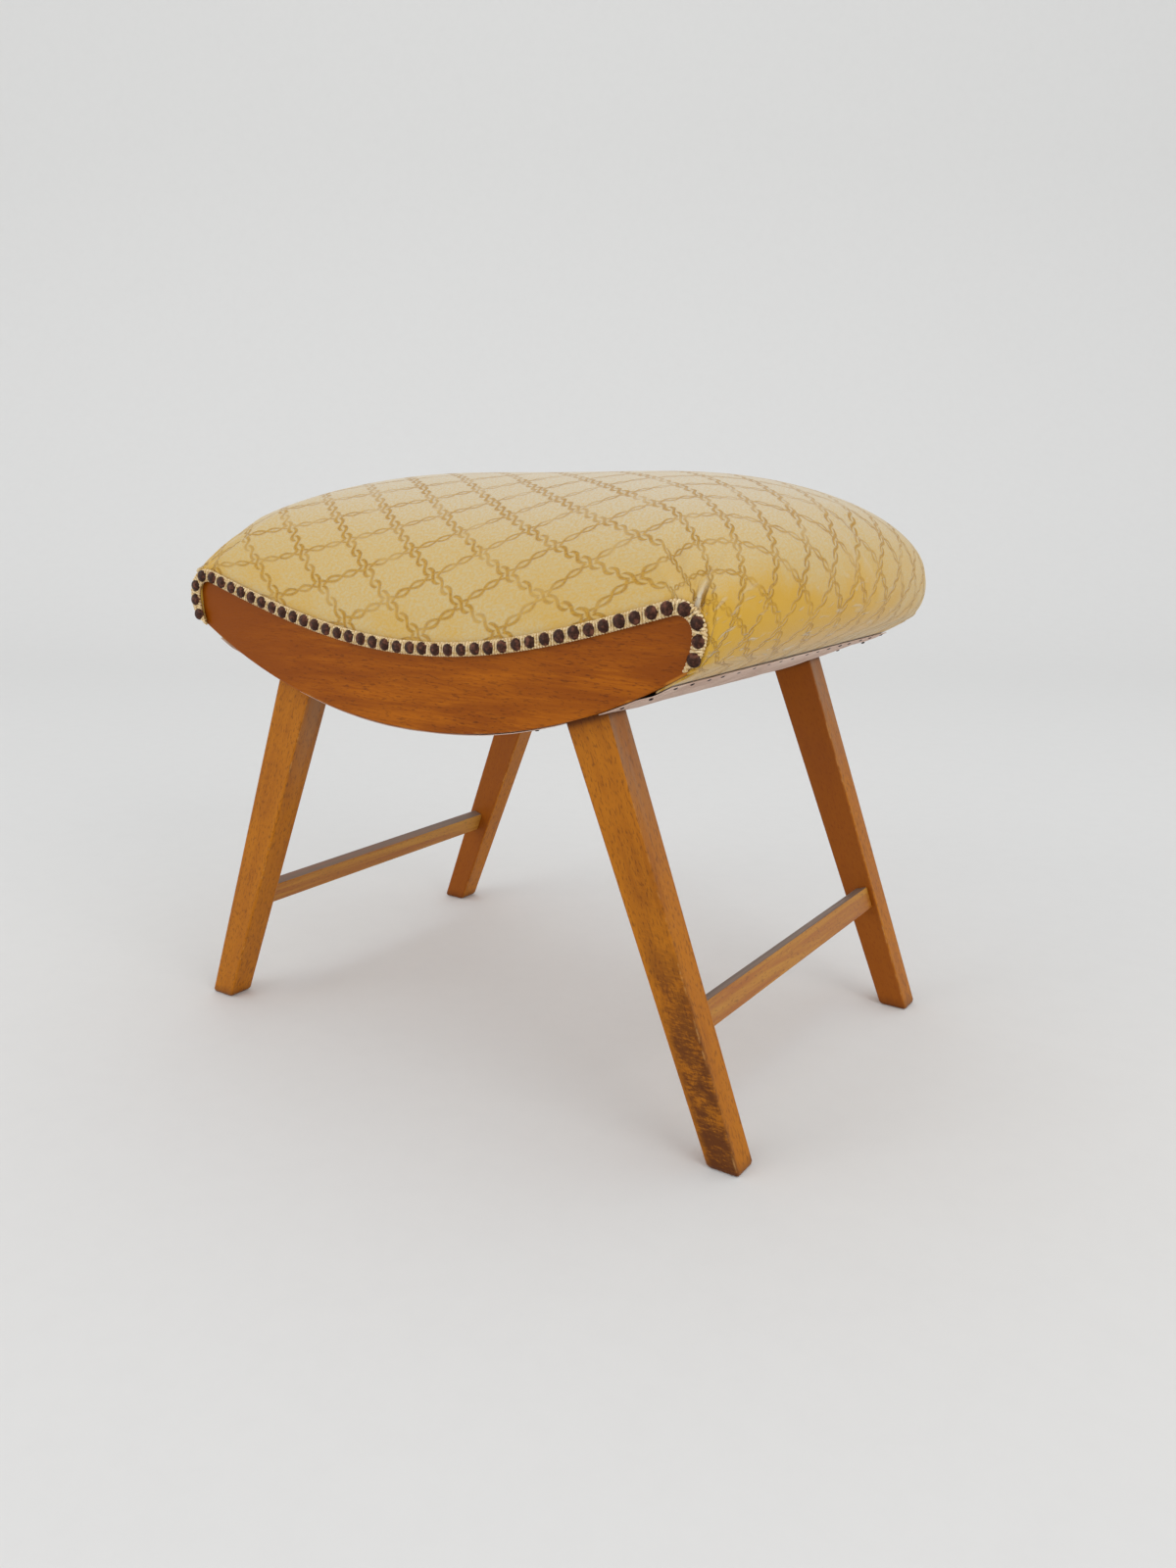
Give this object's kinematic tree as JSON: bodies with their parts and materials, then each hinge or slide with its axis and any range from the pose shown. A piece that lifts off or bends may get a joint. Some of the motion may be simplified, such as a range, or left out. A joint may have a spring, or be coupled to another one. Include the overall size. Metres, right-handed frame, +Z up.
{
  "type": "vanity stool",
  "caption": "Upholstered vanity stool with a saddle-shaped velvet seat between crescent wooden boards, on splayed wooden legs joined by side stretchers.",
  "frame": {"origin": "on the floor, under the middle of the seat", "axes": "+X along the seat to its right end as seen from the front, +Y from the front board to the back board, +Z up"},
  "size_m": [0.5126, 0.3844, 0.4453],
  "materials": {
    "show_wood": "satin orange-brown varnish on beech",
    "leg_wood": "satin honey-brown varnish on beech, worn",
    "frame_wood": "bare sawn beech",
    "screw_steel": "plain steel",
    "jute_webbing": "woven jute",
    "hessian": "coarse open weave",
    "stuffing": "fibre stuffing",
    "velvet": "cream-gold velvet with a pressed trellis of twisted links",
    "gimp_and_nails": "cream-gold braid, with dark bronze domed nails",
    "dust_cloth": "plain pinkish-beige cotton"
  },
  "bodies": {
    "root": {"back_board": "show_wood", "back_gimp_with_nails": "gimp_and_nails", "back_left_corner_block": "frame_wood", "back_left_leg": "leg_wood", "back_left_leg_screw_lower": "screw_steel", "back_left_leg_screw_upper": "screw_steel", "back_right_corner_block": "frame_wood", "back_right_leg": "leg_wood", "back_right_leg_screw_lower": "screw_steel", "back_right_leg_screw_upper": "screw_steel", "dust_cloth": "dust_cloth", "front_board": "show_wood", "front_gimp_with_nails": "gimp_and_nails", "front_left_corner_block": "frame_wood", "front_left_leg": "leg_wood", "front_left_leg_screw_lower": "screw_steel", "front_left_leg_screw_upper": "screw_steel", "front_right_corner_block": "frame_wood", "front_right_leg": "leg_wood", "front_right_leg_screw_lower": "screw_steel", "front_right_leg_screw_upper": "screw_steel", "hessian_sheet": "hessian", "left_end_rail": "frame_wood", "left_leg_rail": "frame_wood", "left_stretcher": "leg_wood", "right_end_rail": "frame_wood", "right_leg_rail": "frame_wood", "right_stretcher": "leg_wood", "seat_pad": "stuffing", "velvet_cover": "velvet", "webbing_strap_1": "jute_webbing", "webbing_strap_2": "jute_webbing", "webbing_strap_3": "jute_webbing", "webbing_strap_4": "jute_webbing", "webbing_strap_5": "jute_webbing", "webbing_strap_6": "jute_webbing", "webbing_strap_7": "jute_webbing"}
  },
  "joints": []
}
